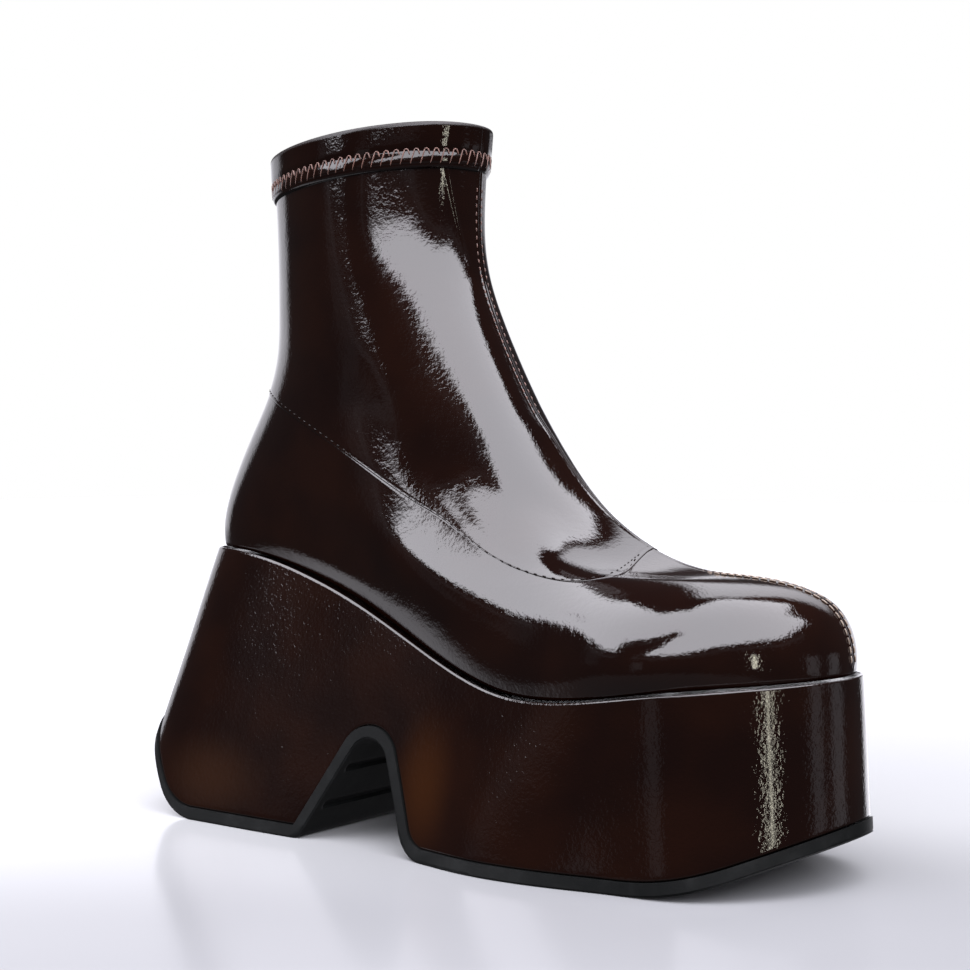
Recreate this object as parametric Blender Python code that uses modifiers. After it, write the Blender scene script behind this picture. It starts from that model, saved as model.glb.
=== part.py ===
"""Right-foot platform ankle boot: outsole, wrapped platform, hollow upper and insole.

Lengths are in millimetres and are turned into metres when a mesh is made.
+X points to the toe, +Y to the inner (medial) side, +Z up.
The origin is on the ground, under the middle of the sole's box.
"""

import bpy
import bmesh
import numpy as np

MM = 0.001

# Driving dimensions -----------------------------------------------------------------
OUTSOLE_LIP = 0.8            # how far the rubber stands out past the wrap
LEDGE = 2.4                  # platform rim outside the upper
WALL = 1.9                   # upper, with its lining
SEAT_GAP = 0.6               # upper above the platform's top face
PLAY = 0.3                   # gap between pieces that touch
INSOLE_THICKNESS = 3.0
INSOLE_MARGIN = 2.2          # insole's edge inside the upper's wall
SHAFT_Y = 2.8                # middle of the heel and shaft; rows give the middle from it
HEM_HEIGHT = 14.5            # folded band round the collar
HEM_STEP = 1.6               # how far that band stands out
AROUND = 72                  # facets round a loop
UP = 26                      # facets from the platform to the collar

# Top face of the platform, along the foot: the heel seat, the arch, the ball and the toe.
SEAT = dict(
    x=(-123.4, -104.8, -81.8, -58.8, -35.8, -12.8, 10.2, 33.2, 60.8, 93.0, 137.6),
    z=(101.8, 101.5, 98.6, 92.6, 84.8, 75.0, 64.9, 58.0, 57.4, 61.8, 65.7),
)

# Outlines in plan. Each has its two tips, how blunt they are, and rows along the foot
# with the half width and the sideways place of the middle.
TOP = dict(
    toe_x=137.6, toe_y=11.5, toe_blunt=8.0, heel_x=-123.4, heel_y=0.0, heel_blunt=20.0,
    x=(121.6, 105.0, 84.0, 47.0, 10.0, -26.6, -63.4, -100.2),
    half=(32.0, 41.6, 44.3, 40.5, 34.4, 30.6, 28.4, 26.4),
    middle=(6.2, 1.9, -0.4, -2.0, -2.8, -2.2, -0.8, 0.0),
)
BOTTOM = dict(
    toe_x=140.6, toe_y=11.5, toe_blunt=8.0, heel_x=-150.5, heel_y=0.0, heel_blunt=46.0,
    x=(124.0, 106.0, 84.0, 66.0, 47.0, 28.0, 10.0, -8.0, -26.0, -63.0, -100.0),
    half=(33.8, 43.6, 46.3, 48.0, 49.0, 48.5, 46.5, 45.1, 44.6, 45.6, 46.0),
    middle=(6.3, 1.9, 0.3, -1.7, -3.6, -4.1, -3.0, -1.7, -1.0, -0.4, 0.0),
)

# Ground side of the sole, from behind the heel to past the toe: corners, their radii,
# and how thick the rubber is along each straight. They are the heel bevel, the heel
# bottom, the notch's two walls, the forefoot and the toe spring.
GROUND = dict(
    x=(-165.0, -115.6, -49.4, -18.6, 0.6, 101.5, 173.5),
    z=(71.6, 0.0, 0.0, 48.6, 0.0, 0.0, 28.8),
    radius=(0.0, 24.0, 5.6, 9.0, 13.0, 100.0, 0.0),
    thick=(2.6, 4.6, 4.6, 4.6, 4.6, 4.6),
)

# Upper: one row for each loop from the platform to the collar. A loop runs from its
# front point round both sides to its back point. The half widths are at fixed parts of
# the way back. Drop is how much of the seat's dip the loop follows.
LOOP_PARTS = (0.05, 0.15, 0.30, 0.50, 0.75, 0.94)
LOOPS = dict(
    height=(0.00, 0.10, 0.20, 0.32, 0.45, 0.58, 0.70, 0.82, 0.91, 1.00),
    front_x=(135.4, 134.8, 128.4, 107.4, 73.4, 43.4, 22.6, 2.6, -5.6, -4.2),
    front_z=(66.2, 76.0, 88.4, 96.4, 100.0, 119.8, 149.4, 187.0, 216.0, 257.4),
    back_x=(-121.0, -121.6, -120.0, -115.6, -108.4, -99.8, -95.2, -93.8, -93.9, -96.4),
    back_z=(102.2, 110.4, 120.2, 133.0, 147.0, 162.0, 177.0, 196.6, 219.0, 250.6),
    half_05=(26.2, 27.4, 26.8, 20.3, 16.9, 17.0, 15.2, 13.8, 13.2, 13.2),
    half_15=(41.0, 42.0, 39.6, 30.6, 27.9, 26.6, 24.0, 22.4, 21.6, 21.6),
    half_30=(39.7, 41.0, 39.6, 35.4, 32.9, 31.6, 29.8, 28.4, 27.4, 27.6),
    half_50=(31.8, 33.4, 34.4, 34.4, 33.6, 32.6, 31.3, 30.2, 29.8, 30.1),
    half_75=(26.3, 27.8, 28.8, 29.4, 29.2, 28.4, 27.4, 26.5, 26.0, 26.1),
    half_94=(22.8, 23.0, 22.3, 20.6, 18.4, 16.6, 15.4, 14.8, 14.4, 14.3),
    toe_blunt=(8.0, 7.4, 5.4, 3.2, 2.2, 1.6, 1.2, 1.0, 1.0, 1.0),
    heel_blunt=(20.0, 19.0, 15.0, 10.0, 6.0, 3.4, 2.0, 1.3, 1.0, 1.0),
    drop=(1.0, 1.0, 0.95, 0.80, 0.50, 0.24, 0.08, 0.0, 0.0, 0.0),
    swing=(1.0, 1.0, 1.0, 0.9, 0.7, 0.4, 0.15, 0.0, 0.0, 0.0),
)

# Curves -----------------------------------------------------------------------------
def spline(knots, values, where):
    """Natural cubic spline through the knots, carried on straight past both ends."""
    knots = np.asarray(knots, float)
    values = np.asarray(values, float)
    order = np.argsort(knots)
    knots, values = knots[order], values[order]
    count = len(knots)
    step = np.diff(knots)
    slope = np.diff(values, axis=0) / step.reshape((-1,) + (1,) * (values.ndim - 1))
    matrix = np.eye(count)
    right = np.zeros_like(values)
    inner = np.arange(1, count - 1)
    matrix[inner, inner - 1] = step[:-1]
    matrix[inner, inner] = 2 * (step[:-1] + step[1:])
    matrix[inner, inner + 1] = step[1:]
    right[inner] = 6 * (slope[1:] - slope[:-1])
    bend = np.linalg.solve(matrix, right)
    where = np.asarray(where, float)
    spot = np.clip(where, knots[0], knots[-1])
    k = np.clip(np.searchsorted(knots, spot) - 1, 0, count - 2)
    wide = (-1,) + (1,) * (values.ndim - 1)
    d = (spot - knots[k]).reshape(wide)
    h = step[k].reshape(wide)
    rise = slope[k] - h * (2 * bend[k] + bend[k + 1]) / 6
    result = values[k] + d * (rise + d * (bend[k] / 2 + d * (bend[k + 1] - bend[k]) / (6 * h)))
    past = (where - spot).reshape(wide)
    end = rise + d * (bend[k] + d * (bend[k + 1] - bend[k]) / (2 * h))
    return result + past * end


def seat_height(x):
    """Height of the platform's top face at a place along the foot."""
    return spline(SEAT["x"], SEAT["z"], x)


def middle_line(x, rows):
    """Sideways place of the middle of an outline, from the heel tip to the toe tip."""
    along = (rows["toe_x"],) + rows["x"] + (rows["heel_x"],)
    aside = (rows["toe_y"],) + rows["middle"] + (rows["heel_y"],)
    return spline(along, aside, x)


def tips(part, toe_blunt, heel_blunt):
    """Shape of a loop's two ends: 0 at both tips, near 1 between, blunter with the powers."""
    return np.sqrt(np.maximum(1 - (1 - part) ** toe_blunt, 0) * np.maximum(1 - part ** heel_blunt, 0))


def loop_angles(count=AROUND):
    """Angles round a loop: 0 at the toe, 180 degrees at the heel, the outer side first."""
    return np.arange(count) * 2 * np.pi / count


def outline(rows, angles):
    """Plan outline of the sole: x from tip to tip, y = middle - side * half width * tips."""
    part = (1 - np.cos(angles)) / 2
    x = rows["toe_x"] + (rows["heel_x"] - rows["toe_x"]) * part
    row_part = (rows["toe_x"] - np.array(rows["x"])) / (rows["toe_x"] - rows["heel_x"])
    row_full = np.array(rows["half"]) / tips(row_part, rows["toe_blunt"], rows["heel_blunt"])
    half = spline(row_part, row_full, part) * tips(part, rows["toe_blunt"], rows["heel_blunt"])
    middle = SHAFT_Y + middle_line(x, rows)
    return np.stack([x, middle - np.sign(np.sin(angles)) * half], axis=1)


def inset(points, distance):
    """Closed plan outline moved inwards by a distance along its normals."""
    along = np.roll(points, -1, axis=0) - np.roll(points, 1, axis=0)
    along /= np.linalg.norm(along, axis=1, keepdims=True)
    outward = np.stack([-along[:, 1], along[:, 0]], axis=1)
    area = np.sum(points[:, 0] * np.roll(points[:, 1], -1) - np.roll(points[:, 0], -1) * points[:, 1])
    return points + np.sign(area) * distance * outward


def rounded_path(rows, thick, arc_facets):
    """Side profile of the sole with its corners as arcs; each straight moves up by its
    thickness, and a corner goes where the moved straights meet."""
    corners = np.stack([rows["x"], rows["z"]], axis=1)
    along = np.diff(corners, axis=0)
    along /= np.linalg.norm(along, axis=1, keepdims=True)
    inward = np.stack([-along[:, 1], along[:, 0]], axis=1)
    moved = [corners[0] + thick[0] * inward[0]]
    for k in range(1, len(corners) - 1):
        lines = inward[k - 1:k + 1]
        moved.append(corners[k] + np.linalg.solve(lines, thick[k - 1:k + 1]))
    moved.append(corners[-1] + thick[-1] * inward[-1])
    path = [moved[0]]
    for k in range(1, len(corners) - 1):
        before, after = along[k - 1], along[k]
        side = np.sign(before[0] * after[1] - before[1] * after[0])
        radius = max(rows["radius"][k] - side * (thick[k - 1] + thick[k]) / 2, 0.5)
        bend = np.arccos(np.clip(before @ after, -1, 1))
        start = moved[k] - before * radius * np.tan(bend / 2)
        centre = start + side * radius * np.array([-before[1], before[0]])
        spoke = start - centre
        for sweep in side * np.linspace(0, bend, arc_facets + 1):
            turned = [np.cos(sweep) * spoke[0] - np.sin(sweep) * spoke[1],
                      np.sin(sweep) * spoke[0] + np.cos(sweep) * spoke[1]]
            path.append(centre + np.array(turned))
    path.append(moved[-1])
    return np.array(path)


def upper_surface(angles, heights):
    """Outer face of the upper: loops of the table, blended from the platform to the collar."""
    angle, height = np.meshgrid(angles, heights)
    row = {name: spline(LOOPS["height"], values, height.ravel()).reshape(height.shape)
           for name, values in LOOPS.items() if name != "height"}
    part = (1 - np.cos(angle)) / 2
    dip_x = LOOPS["front_x"][0] + (LOOPS["back_x"][0] - LOOPS["front_x"][0]) * part
    chord = LOOPS["front_z"][0] + (LOOPS["back_z"][0] - LOOPS["front_z"][0]) * part
    dip = seat_height(dip_x.ravel()).reshape(part.shape) + SEAT_GAP - chord
    x = row["front_x"] + (row["back_x"] - row["front_x"]) * part
    z = row["front_z"] + (row["back_z"] - row["front_z"]) * part + row["drop"] * dip
    widths = np.stack([row[f"half_{100 * place:02.0f}"] for place in LOOP_PARTS])
    full = np.stack([widths[k] / tips(LOOP_PARTS[k], row["toe_blunt"], row["heel_blunt"])
                     for k in range(len(LOOP_PARTS))])
    half = np.empty_like(x)
    for k in range(len(heights)):
        half[k] = spline(LOOP_PARTS, full[:, k, 0], part[k])
    half *= tips(part, row["toe_blunt"], row["heel_blunt"])
    middle = SHAFT_Y + middle_line(x.ravel(), TOP).reshape(x.shape) * row["swing"]
    return np.stack([x, middle - np.sign(np.sin(angle)) * half, z], axis=-1)


def outward_normals(grid):
    """Unit normals of a grid of loops, pointing out of the boot."""
    around = np.roll(grid, -1, axis=1) - np.roll(grid, 1, axis=1)
    up = np.gradient(grid, axis=0)
    normal = np.cross(up, around)
    return normal / np.linalg.norm(normal, axis=-1, keepdims=True)


# Mesh helpers -----------------------------------------------------------------------
def collection(name):
    group = bpy.data.collections.new(name)
    bpy.context.scene.collection.children.link(group)
    return group


def material(name, colour, roughness):
    finish = bpy.data.materials.new(name)
    finish.use_nodes = True
    shader = finish.node_tree.nodes["Principled BSDF"]
    shader.inputs["Base Color"].default_value = (*colour, 1.0)
    shader.inputs["Roughness"].default_value = roughness
    shader.inputs["Metallic"].default_value = 0.0
    return finish


def mesh_object(name, points, faces, group, finish=None):
    """Object from points in millimetres and faces; its faces are turned outwards."""
    mesh = bpy.data.meshes.new(name)
    mesh.from_pydata((np.asarray(points) * MM).tolist(), [], faces)
    form = bmesh.new()
    form.from_mesh(mesh)
    bmesh.ops.recalc_face_normals(form, faces=form.faces[:])
    form.to_mesh(mesh)
    form.free()
    if finish:
        mesh.materials.append(finish)
        mesh.shade_smooth()
        mesh.set_sharp_from_angle(angle=np.radians(35))
    thing = bpy.data.objects.new(name, mesh)
    group.objects.link(thing)
    return thing


def loop_faces(lower, upper, count):
    """Quads between two closed loops whose first points are lower and upper."""
    return [(lower + k, lower + (k + 1) % count, upper + (k + 1) % count, upper + k)
            for k in range(count)]


def cap_faces(first, count):
    """Strips across a closed loop, joining each side's points in pairs."""
    half = count // 2
    faces = [(first, first + 1, first + count - 1)]
    faces += [(first + k, first + k + 1, first + count - k - 1, first + count - k)
              for k in range(1, half - 1)]
    faces.append((first + half - 1, first + half, first + half + 1))
    return faces


def block_between(name, lower, upper, group, finish=None):
    """Closed ruled solid between two loops of as many points."""
    count = len(lower)
    faces = loop_faces(0, count, count) + cap_faces(0, count) + cap_faces(count, count)
    return mesh_object(name, np.vstack([lower, upper]), faces, group, finish)


def flat_slab(name, path, half_width, group):
    """Side profile, filled and extruded across the boot."""
    shape = bpy.data.curves.new(name, "CURVE")
    shape.dimensions = "2D"
    shape.fill_mode = "BOTH"
    shape.extrude = half_width * MM
    line = shape.splines.new("POLY")
    line.points.add(len(path) - 1)
    for point, (x, z) in zip(line.points, path):
        point.co = (x * MM, z * MM, 0.0, 1.0)
    line.use_cyclic_u = True
    drawn = bpy.data.objects.new(name, shape)
    drawn.rotation_euler = (np.pi / 2, 0.0, 0.0)
    group.objects.link(drawn)
    bpy.context.view_layer.update()
    ready = bpy.context.evaluated_depsgraph_get()
    mesh = bpy.data.meshes.new_from_object(drawn.evaluated_get(ready))
    form = bmesh.new()
    form.from_mesh(mesh)
    bmesh.ops.remove_doubles(form, verts=form.verts[:], dist=0.00001)
    bmesh.ops.recalc_face_normals(form, faces=form.faces[:])
    form.to_mesh(mesh)
    form.free()
    slab = bpy.data.objects.new(name, mesh)
    slab.matrix_world = drawn.matrix_world.copy()
    group.objects.link(slab)
    bpy.data.objects.remove(drawn)
    return hide(slab)


def hide(cutter):
    cutter.hide_render = True
    cutter.display_type = "WIRE"
    return cutter


def cut(thing, cutter, operation):
    step = thing.modifiers.new(operation.title() + " " + cutter.name, "BOOLEAN")
    step.operation = operation
    step.solver = "EXACT"
    step.object = cutter


# Pieces -----------------------------------------------------------------------------
def sole_block(name, grow, group, finish):
    """Ruled form from the seat down past the ground, before its side profile is cut."""
    angles = loop_angles()
    top = inset(outline(TOP, angles), -grow)
    bottom = inset(outline(BOTTOM, angles), -grow)
    top = np.column_stack([top, seat_height(top[:, 0])])
    bottom = np.column_stack([bottom, np.zeros(len(bottom))])
    below = bottom + (bottom - top) * 0.05
    return block_between(name, below, top, group, finish)


def profile_slab(name, thick, group):
    """Everything above the ground profile, moved up by a thickness, as one slab."""
    path = rounded_path(GROUND, thick, arc_facets=8)
    high = 190.0
    lid = [(path[-1][0] + 20.0, high), (path[0][0] - 20.0, high)]
    return flat_slab(name, np.vstack([path, lid]), 80.0, group)


def outsole(group, cutters, finish):
    rubber = sole_block("outsole", OUTSOLE_LIP, group, finish)
    thick = np.array(GROUND["thick"])
    cut(rubber, profile_slab("ground_side", np.zeros(6), cutters), "INTERSECT")
    cut(rubber, profile_slab("rubber_top", thick - PLAY, cutters), "DIFFERENCE")
    return rubber


def platform(group, cutters, finish):
    body = sole_block("platform", 0.0, group, finish)
    cut(body, profile_slab("wrap_edge", np.array(GROUND["thick"]), cutters), "INTERSECT")
    return body


def upper(group, finish):
    """Hollow shell: the loops as an open surface, given its wall by Solidify."""
    heights = np.linspace(0, 1, UP + 1)
    shell = upper_surface(loop_angles(), heights)
    hem_start = LOOPS["front_z"][-1] - HEM_HEIGHT
    proud = HEM_STEP * np.clip((shell[..., 2] - hem_start) / 1.5, 0, 1)
    shell = shell + outward_normals(shell) * proud[..., None]
    faces = []
    for k in range(UP):
        faces += loop_faces(k * AROUND, (k + 1) * AROUND, AROUND)
    thing = mesh_object("upper", shell.reshape(-1, 3), faces, group, finish)
    wall = thing.modifiers.new("Wall", "SOLIDIFY")
    wall.thickness = WALL * MM
    wall.offset = -1.0
    wall.use_even_offset = False
    return thing


def insole(group, finish):
    """Padded plate on the seat, inside the upper's wall."""
    edge = inset(outline(TOP, loop_angles()), LEDGE + WALL + INSOLE_MARGIN)
    height = seat_height(edge[:, 0]) + PLAY
    lower = np.column_stack([edge, height])
    top = np.column_stack([edge, height + INSOLE_THICKNESS])
    return block_between("insole", lower, top, group, finish)


def main():
    for old in list(bpy.data.objects):
        bpy.data.objects.remove(old, do_unlink=True)
    boot = collection("ankle_boot")
    cutters = collection("cutters")
    patent = material("patent", (0.022, 0.008, 0.006), 0.10)
    wrap = material("patent_wrap", (0.020, 0.007, 0.006), 0.12)
    rubber = material("rubber", (0.012, 0.013, 0.014), 0.55)
    footbed = material("footbed", (0.045, 0.030, 0.022), 0.70)
    outsole(boot, cutters, rubber)
    platform(boot, cutters, wrap)
    upper(boot, patent)
    insole(boot, footbed)


main()
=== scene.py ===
# %% [markdown]
# # A platform ankle boot in crinkled patent
#
# The boot is a tight, glossy sock of patent on a tall block: a flared platform and heel in one
# piece, wrapped in the same patent, with a notch cut up under the arch and a thin black rubber
# sole. This lesson builds it again over a plain model of its solids, which is loaded here as the
# frame. Everything is in metres in that frame, toe towards +X, inner side of the foot towards +Y.

# %% Load the frame
import bpy
import bmesh
import numpy as np
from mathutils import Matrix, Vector


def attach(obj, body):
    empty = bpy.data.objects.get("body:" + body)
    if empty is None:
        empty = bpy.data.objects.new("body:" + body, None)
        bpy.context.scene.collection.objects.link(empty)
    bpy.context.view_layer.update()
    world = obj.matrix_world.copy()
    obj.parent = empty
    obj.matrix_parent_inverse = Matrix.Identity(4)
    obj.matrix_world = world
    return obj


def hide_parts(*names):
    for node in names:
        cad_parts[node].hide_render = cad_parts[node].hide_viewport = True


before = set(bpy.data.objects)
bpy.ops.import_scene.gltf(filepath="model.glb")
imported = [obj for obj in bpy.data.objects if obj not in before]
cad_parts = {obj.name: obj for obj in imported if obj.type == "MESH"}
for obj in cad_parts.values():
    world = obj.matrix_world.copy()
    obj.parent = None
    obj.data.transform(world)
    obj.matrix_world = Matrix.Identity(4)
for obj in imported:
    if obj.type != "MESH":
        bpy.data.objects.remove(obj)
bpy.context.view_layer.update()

MM = 0.001

# %% [markdown]
# ## Where the viewer stands
#
# A shoe is usually shown from its outer side, a little towards the toe, with the lens at about
# half its height. The camera could be turned by hand, but it is simpler to say where it stands
# and which point it looks at, and to let Blender work out the turn between the two.

# %% Camera
def aim(thing, place, target):
    """Puts a thing at a place, with its -Z axis towards the target and its Y axis up."""
    thing.location = place
    thing.rotation_euler = (Vector(target) - Vector(place)).to_track_quat("-Z", "Y").to_euler()


VIEWER_AT = (0.3529, -0.4758, 0.1311)
LOOK_AT = (0.002, 0.0, 0.1265)
lens = bpy.data.cameras.new("viewer")
lens.lens = 61.0
viewer = bpy.data.objects.new("viewer", lens)
bpy.context.scene.collection.objects.link(viewer)
aim(viewer, VIEWER_AT, LOOK_AT)
bpy.context.scene.camera = viewer
print("camera stands", round((viewer.location - Vector(LOOK_AT)).length, 3), "m away")

# %% [markdown]
# ## Words for shader maths
#
# A material is a graph of nodes. Placing every Math node by hand hides the idea, so one small
# class wraps a node's output and lets Python's own signs add the nodes: `1 - mask` makes a
# Subtract node. Colours never go through Math, because that would turn them grey. They go
# through Mix, and directions through Vector Math, and both have a call of their own here.

# %% The Wire class
class Wire:
    """One output of a node. Its operators add Math nodes to the same tree."""

    def __init__(self, tree, socket):
        self.tree, self.socket = tree, socket

    def node(self, kind, settings=None, output=0, **values):
        """Any node: its type, its settings, then its sockets' values or links. A socket is named
        by its label in lower case with underscores, or by i and its number."""
        made = self.tree.nodes.new(kind)
        for key, value in (settings or {}).items():
            setattr(made, key, value)
        for key, value in values.items():
            if key[0] == "i" and key[1:].isdigit():
                socket = made.inputs[int(key[1:])]
            else:
                socket = next(s for s in made.inputs
                              if s.name.lower().replace(" ", "_") == key and s.enabled)
            if isinstance(value, Wire):
                self.tree.links.new(value.socket, socket)
            else:
                socket.default_value = value
        return Wire(self.tree, made.outputs[output])

    def maths(self, operation, first, second=0.0):
        return self.node("ShaderNodeMath", {"operation": operation}, i0=first, i1=second)

    def __add__(self, other): return self.maths("ADD", self, other)
    def __radd__(self, other): return self.maths("ADD", other, self)
    def __sub__(self, other): return self.maths("SUBTRACT", self, other)
    def __rsub__(self, other): return self.maths("SUBTRACT", other, self)
    def __mul__(self, other): return self.maths("MULTIPLY", self, other)

    def low(self, other): return self.maths("MINIMUM", self, other)
    def high(self, other): return self.maths("MAXIMUM", self, other)

    def step(self, start, end):
        """0 before start and 1 after end, with a smooth rise between, or a fall if end is less."""
        return self.node("ShaderNodeMapRange", {"interpolation_type": "SMOOTHSTEP"},
                         value=self, from_min=start, from_max=end)

    def band(self, start, risen, falling, end):
        """0 before start, 1 from risen to falling, and 0 again after end."""
        return self.step(start, risen) * self.step(end, falling)

    def tint(self, dark, light):
        """A colour between two others, where this value is the share of the second."""
        a, b = [(*c, 1.0) if not isinstance(c, Wire) else c for c in (dark, light)]
        return self.node("ShaderNodeMix", {"data_type": "RGBA"}, output=2, i0=self, i6=a, i7=b)

    def vector(self, operation, other=(0.0, 0.0, 0.0)):
        """Vector Math. A length or a dot product is a number, from the second output."""
        output = 1 if operation in ("LENGTH", "DOT_PRODUCT") else 0
        return self.node("ShaderNodeVectorMath", {"operation": operation}, output,
                         i0=self, i1=other)

    def bump(self, strength, distance, **under):
        """Normal of a surface raised by this value, in metres, over another normal if given."""
        return self.node("ShaderNodeBump", strength=strength, distance=distance, height=self,
                         **under)


def noise(place, size, detail=2.0, rough=0.5, stretch=(1, 1, 1)):
    """Smooth noise from 0 to 1 whose bumps are about one size across, in metres."""
    scaled = place.vector("MULTIPLY", tuple(s / size for s in stretch))
    return place.node("ShaderNodeTexNoise", vector=scaled, scale=1.0, detail=detail,
                      roughness=rough)


print("the Wire class knows", len([n for n in dir(Wire) if not n.startswith("__")]), "named calls")

# %% [markdown]
# ## A studio around a mirror
#
# Dark patent has almost no colour of its own: what the eye reads as its shape is the picture of
# the studio in it. So the studio is drawn first. Lamps of fixed size would do, but a soft box far
# away is only a patch of the sky, so it is drawn straight on the world, by compass bearing and
# height. One big window hangs over and beside the boot, and the bends of its edges are the bends
# of the highlights. A few strips stand low round the toe, the table glows faintly from below, and
# two patches light the back. The camera itself sees plain white.

# %% The studio
PATCHES = [
    # left, right, low and high edges, half the blur across and up, all in degrees, then power
    (39.25, 40.75, -13, 7, 0.6, 1, 16.0),
    (66.5, 75.5, -14, 3, 0.6, 1, 0.35),
    (84, 96, -14, 3, 0.6, 1, 0.35),
    (-48, -38, -14, 0, 0.6, 1, 0.16),
    (-83, -77, -2, 12, 0.6, 1, 0.06),
    (136, 200, -22, 8, 4, 4, 1.6),
    (-200, -128, -4, 16, 5, 5, 1.2),
]
WINDOW_POWER, AMBIENT = 7.0, 0.05
COOL, WARM, WHITE = (0.94, 0.93, 1.0), (1.0, 0.96, 0.78), (1.0, 1.0, 1.0)


def patch(bearing, height, left, right, low, high, blur, rise, power):
    """Light that one row of the table sends from a direction."""
    return (bearing.band(left - blur, left + blur, right - blur, right + blur)
            * height.band(low - rise, low + rise, high - rise, high + rise) * power)


def big_window(bearing, height, ahead, aside):
    """How many degrees inside its nearest edge a direction lies. A part at the toe's side, past
    a slanting edge and above a sill, joins a part overhead, above an edge that rises in three
    steps towards the toe. Both end at a far edge that bulges out twice."""
    sill = 12.5 + bearing.step(-8, 34) * 8.5 + (bearing - 54).high(0.0) * 0.42
    slant = bearing - height * 1.10 + 50 + (height - 42).high(0.0) * 1.5
    overhead = (height - 13 + (bearing + 75).low(0.0) * 0.8 - bearing.step(-66, -60) * 15
                - bearing.step(-59, -47) * 7 - bearing.step(-46, -6) * 11.5)
    far = (ahead - 4 - (aside + 20).low(0.0) * 0.25 + aside.band(0, 14, 33, 42) * 17
           + aside.band(-46, -36, -19, -12) * 20)
    return slant.low(height - sill).high(overhead).low(far), far


def studio(tree):
    """Bearing 0 is towards the camera, and it grows anticlockwise seen from above. Ahead and
    aside are a direction's parts towards the camera and across, in rough degrees."""
    out = tree.nodes.new("ShaderNodeOutputWorld")
    place = Wire(tree, tree.nodes.new("ShaderNodeTexCoord").outputs["Generated"])
    x, y, z = (place.node("ShaderNodeSeparateXYZ", output=k, i0=place) for k in range(3))
    turn = np.arctan2(VIEWER_AT[1], VIEWER_AT[0])
    cos, sin = float(np.cos(turn)), float(np.sin(turn))
    forward, across = x * cos + y * sin, y * cos - x * sin
    bearing = across.maths("ARCTAN2", across, forward) * (180 / np.pi)
    height = z.maths("ARCSINE", z) * (180 / np.pi)
    ahead, aside = forward * 57, across * 57
    inside, far = big_window(bearing, height, ahead, aside)
    window = inside.step(-1.5, 1.5) * WINDOW_POWER
    frame_line = inside.band(-7.6, -6.8, -5.4, -4.6) * far.step(8, 16) * 0.16
    behind = ((aside - 3).step(0, 5) * (ahead + aside.step(14, 28) * 9).step(-13, -21)
              * height.step(22, 32))
    backdrop = behind * (0.6 + z * z * 4.2)
    table = ((height + 15 + bearing.step(-75, -40) * 6).step(-1, -4)
             * (0.08 + bearing.step(-88, -104)) * (bearing + 118).step(0, 8))
    lamps = sum(patch(bearing, height, *row) for row in PATCHES)
    bright = AMBIENT + window + frame_line + backdrop + table + lamps
    seen = place.node("ShaderNodeLightPath")
    colour = seen.tint(lamps.step(2, 8).tint(COOL, WARM), WHITE)
    shade = seen.node("ShaderNodeBackground", color=colour, strength=seen + (1 - seen) * bright)
    tree.links.new(shade.socket, out.inputs["Surface"])


world = bpy.data.worlds.new("studio")
world.use_nodes = True
world.node_tree.nodes.clear()
studio(world.node_tree)
bpy.context.scene.world = world
bpy.context.scene.view_settings.view_transform = "Standard"
print("studio drawn with", len(world.node_tree.nodes), "nodes")

# %% [markdown]
# ## The floor
#
# A pale, glossy table, so that the boot stands on its own soft reflection. It is a wide plane, a
# little darker in front, which is shade painted into its colour. The boot neither mirrors it nor
# is lit by it, because a plane this wide would wash out the dark sides: the studio's faint glow
# from below stands in for it.

# %% Floor
TOWARDS_VIEWER = (0.596, -0.803, 0.0)


def finish(name, build, **constants):
    """A material: build draws its graph and returns what varies, constants are set directly."""
    made = bpy.data.materials.new(name)
    made.use_nodes = True
    tree = made.node_tree
    shader = tree.nodes["Principled BSDF"]
    for key, value in constants.items():
        shader.inputs[key.replace("_", " ").title().replace("Ior", "IOR")].default_value = value
    place = Wire(tree, tree.nodes.new("ShaderNodeTexCoord").outputs["Object"])
    for key, value in build(place).items():
        tree.links.new(value.socket, shader.inputs[key])
    return made


def floor_graph(place):
    """Grey from 12 cm in front of the middle, and paler from 4 cm behind it."""
    nearer = place.vector("DOT_PRODUCT", TOWARDS_VIEWER)
    # painted shade: the table is drawn greyer towards the viewer
    grey, pale = (0.246, 0.249, 0.257), (0.375, 0.380, 0.385)
    return {"Base Color": nearer.step(0.12, -0.04).tint(grey, pale)}


floor_mesh = bpy.data.meshes.new("floor")
corners = [(6.0 * x, 6.0 * y, 0) for x, y in ((-1, -1), (1, -1), (1, 1), (-1, 1))]
floor_mesh.from_pydata(corners, [], [(0, 1, 2, 3)])
floor = bpy.data.objects.new("floor", floor_mesh)
bpy.context.scene.collection.objects.link(floor)
floor_mesh.materials.append(finish("pale_table", floor_graph, roughness=0.16))
floor.visible_glossy = False
floor.visible_diffuse = False
print("floor is", round(floor.dimensions.x, 1), "m wide")

# %% [markdown]
# ## Smooth curves from a few numbers
#
# A last maker works from a few sections and fairs the rest by eye. The same is done here: each
# table holds a value at a few places, and a natural spline, the curve of a thin bent batten,
# runs through them. It works on whole arrays, so a surface of many thousand points is one call.

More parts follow.
